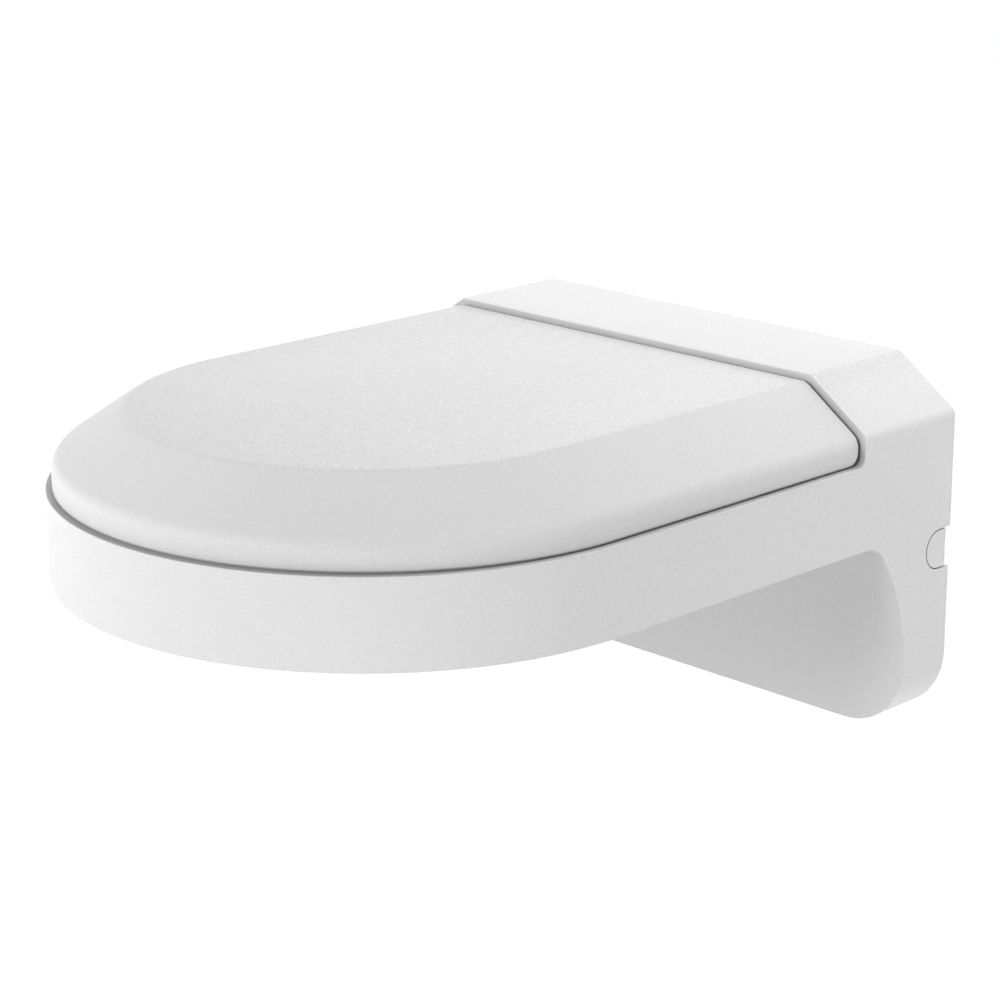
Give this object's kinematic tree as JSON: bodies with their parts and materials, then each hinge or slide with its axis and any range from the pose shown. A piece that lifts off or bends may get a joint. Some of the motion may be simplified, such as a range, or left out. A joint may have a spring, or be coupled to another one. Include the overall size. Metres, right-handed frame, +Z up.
{
  "type": "camera wall bracket",
  "caption": "Wall bracket for a small dome camera: a round-ended arm with a fitted top cover, standing out from a plate that goes down the wall.",
  "frame": {"origin": "on the wall, in the middle of the four wall screw holes", "axes": "+X across the wall to the right as seen from the room, +Y into the wall, so the arm stands out along -Y, and +Z up"},
  "size_m": [0.122, 0.1565, 0.073],
  "materials": {
    "body_plastic": "white, fine moulded grain",
    "cover_plastic": "white, fine moulded grain",
    "plug_plastic": "white, smooth",
    "screw_steel": "zinc plated",
    "insert_brass": "turned"
  },
  "bodies": {
    "root": {"bracket_body": "body_plastic", "top_cover": "cover_plastic", "side_plug_left": "plug_plastic", "side_plug_right": "plug_plastic", "cover_screw_left": "screw_steel", "cover_screw_right": "screw_steel", "camera_insert_front_left": "insert_brass", "camera_insert_front_right": "insert_brass", "camera_insert_rear_left": "insert_brass", "camera_insert_rear_right": "insert_brass"}
  },
  "joints": []
}
